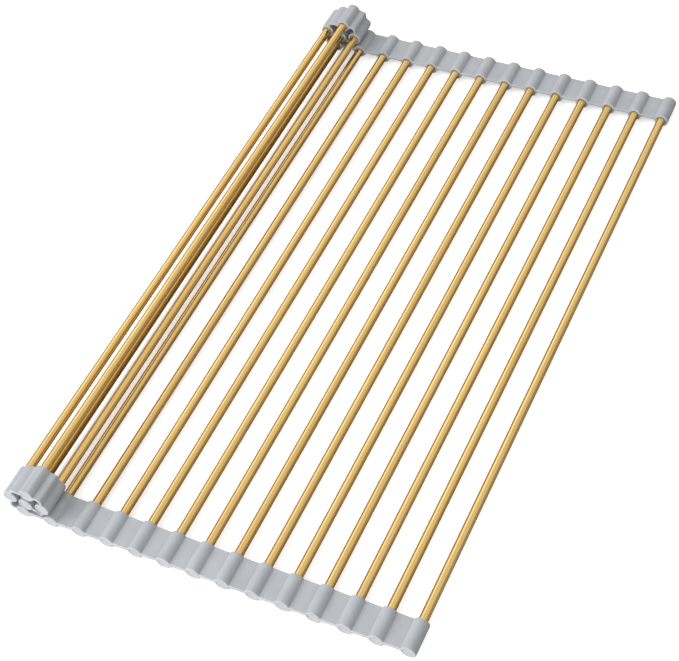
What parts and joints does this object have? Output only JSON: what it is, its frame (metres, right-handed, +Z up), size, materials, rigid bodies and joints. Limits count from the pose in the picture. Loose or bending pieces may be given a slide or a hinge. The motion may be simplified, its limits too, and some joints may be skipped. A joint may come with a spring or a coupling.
{
  "type": "dish drying rack",
  "caption": "Roll-up over-sink dish drying rack: round gold steel tubes in two grey silicone end strips that flex between the tubes, one end rolled up.",
  "frame": {"origin": "under the middle of the rack's box, on the surface that the sockets stand on", "axes": "+Y along the tubes, +X across them away from the rolled-up end, +Z up"},
  "size_m": [0.2552, 0.445, 0.0288],
  "materials": {
    "gold_steel": "gold-coloured stainless tube, satin polished along its length",
    "silicone": "matt moulded silicone, light grey"
  },
  "bodies": {
    "link_01": {"tube_01": "gold_steel", "near_socket_01": "silicone", "far_socket_01": "silicone"},
    "link_02": {"tube_02": "gold_steel", "near_socket_02": "silicone", "far_socket_02": "silicone"},
    "link_03": {"tube_03": "gold_steel", "near_socket_03": "silicone", "far_socket_03": "silicone"},
    "link_04": {"tube_04": "gold_steel", "near_socket_04": "silicone", "far_socket_04": "silicone"},
    "link_05": {"tube_05": "gold_steel", "near_socket_05": "silicone", "far_socket_05": "silicone"},
    "link_06": {"tube_06": "gold_steel", "near_socket_06": "silicone", "far_socket_06": "silicone"},
    "link_07": {"tube_07": "gold_steel", "near_socket_07": "silicone", "far_socket_07": "silicone"},
    "link_08": {"tube_08": "gold_steel", "near_socket_08": "silicone", "far_socket_08": "silicone"},
    "link_09": {"tube_09": "gold_steel", "near_socket_09": "silicone", "far_socket_09": "silicone"},
    "link_10": {"tube_10": "gold_steel", "near_socket_10": "silicone", "far_socket_10": "silicone"},
    "link_11": {"tube_11": "gold_steel", "near_socket_11": "silicone", "far_socket_11": "silicone"},
    "link_12": {"tube_12": "gold_steel", "near_socket_12": "silicone", "far_socket_12": "silicone"},
    "link_13": {"tube_13": "gold_steel", "near_socket_13": "silicone", "far_socket_13": "silicone"},
    "link_14": {"tube_14": "gold_steel", "near_socket_14": "silicone", "far_socket_14": "silicone"},
    "link_15": {"tube_15": "gold_steel", "near_socket_15": "silicone", "far_socket_15": "silicone"},
    "link_16": {"tube_16": "gold_steel", "near_socket_16": "silicone", "far_socket_16": "silicone"},
    "link_17": {"tube_17": "gold_steel", "near_socket_17": "silicone", "far_socket_17": "silicone"},
    "link_18": {"tube_18": "gold_steel", "near_socket_18": "silicone", "far_socket_18": "silicone"}
  },
  "joints": [
    {"name": "web_01", "type": "hinge", "parent": "link_01", "child": "link_02", "pos_m": [0.11374, 0, 0.00475], "axis": [0, 1, 0], "range_deg": [0, 19.8]},
    {"name": "web_02", "type": "hinge", "parent": "link_02", "child": "link_03", "pos_m": [0.09524, 0, 0.00475], "axis": [0, 1, 0], "range_deg": [0, 22]},
    {"name": "web_03", "type": "hinge", "parent": "link_03", "child": "link_04", "pos_m": [0.07674, 0, 0.00475], "axis": [0, 1, 0], "range_deg": [0, 24.2]},
    {"name": "web_04", "type": "hinge", "parent": "link_04", "child": "link_05", "pos_m": [0.05824, 0, 0.00475], "axis": [0, 1, 0], "range_deg": [0, 26.4]},
    {"name": "web_05", "type": "hinge", "parent": "link_05", "child": "link_06", "pos_m": [0.03974, 0, 0.00475], "axis": [0, 1, 0], "range_deg": [0, 28.6]},
    {"name": "web_06", "type": "hinge", "parent": "link_06", "child": "link_07", "pos_m": [0.02124, 0, 0.00475], "axis": [0, 1, 0], "range_deg": [0, 30.8]},
    {"name": "web_07", "type": "hinge", "parent": "link_07", "child": "link_08", "pos_m": [0.00274, 0, 0.00475], "axis": [0, 1, 0], "range_deg": [0, 33]},
    {"name": "web_08", "type": "hinge", "parent": "link_08", "child": "link_09", "pos_m": [-0.01576, 0, 0.00475], "axis": [0, 1, 0], "range_deg": [0, 35.2]},
    {"name": "web_09", "type": "hinge", "parent": "link_09", "child": "link_10", "pos_m": [-0.03426, 0, 0.00475], "axis": [0, 1, 0], "range_deg": [0, 37.4]},
    {"name": "web_10", "type": "hinge", "parent": "link_10", "child": "link_11", "pos_m": [-0.05276, 0, 0.00475], "axis": [0, 1, 0], "range_deg": [0, 39.6]},
    {"name": "web_11", "type": "hinge", "parent": "link_11", "child": "link_12", "pos_m": [-0.07126, 0, 0.00475], "axis": [0, 1, 0], "range_deg": [0, 41.8]},
    {"name": "web_12", "type": "hinge", "parent": "link_12", "child": "link_13", "pos_m": [-0.08976, 0, 0.00475], "axis": [0, 1, 0], "range_deg": [0, 44]},
    {"name": "web_13", "type": "hinge", "parent": "link_13", "child": "link_14", "pos_m": [-0.10826, 0, 0.00475], "axis": [0, 1, 0], "range_deg": [-4, 0]},
    {"name": "web_14", "type": "hinge", "parent": "link_14", "child": "link_15", "pos_m": [-0.12487, 0, 0.00591], "axis": [0, 1, 0], "range_deg": [-98, 0]},
    {"name": "web_15", "type": "hinge", "parent": "link_15", "child": "link_16", "pos_m": [-0.12103, 0, 0.02401], "axis": [0, 1, 0], "range_deg": [-78, 0]},
    {"name": "web_16", "type": "hinge", "parent": "link_16", "child": "link_17", "pos_m": [-0.10068, 0, 0.02401], "axis": [0, 1, 0], "range_deg": [-102, 0]},
    {"name": "web_17", "type": "hinge", "parent": "link_17", "child": "link_18", "pos_m": [-0.10414, 0, 0.00772], "axis": [0, 1, 0], "range_deg": [-114, 0]}
  ],
  "couplings": [
    {"joint": "web_13", "follows": "web_14", "ratio": 0.0408},
    {"joint": "web_15", "follows": "web_14", "ratio": 0.7959},
    {"joint": "web_16", "follows": "web_14", "ratio": 1.0408},
    {"joint": "web_17", "follows": "web_14", "ratio": 1.1632}
  ]
}
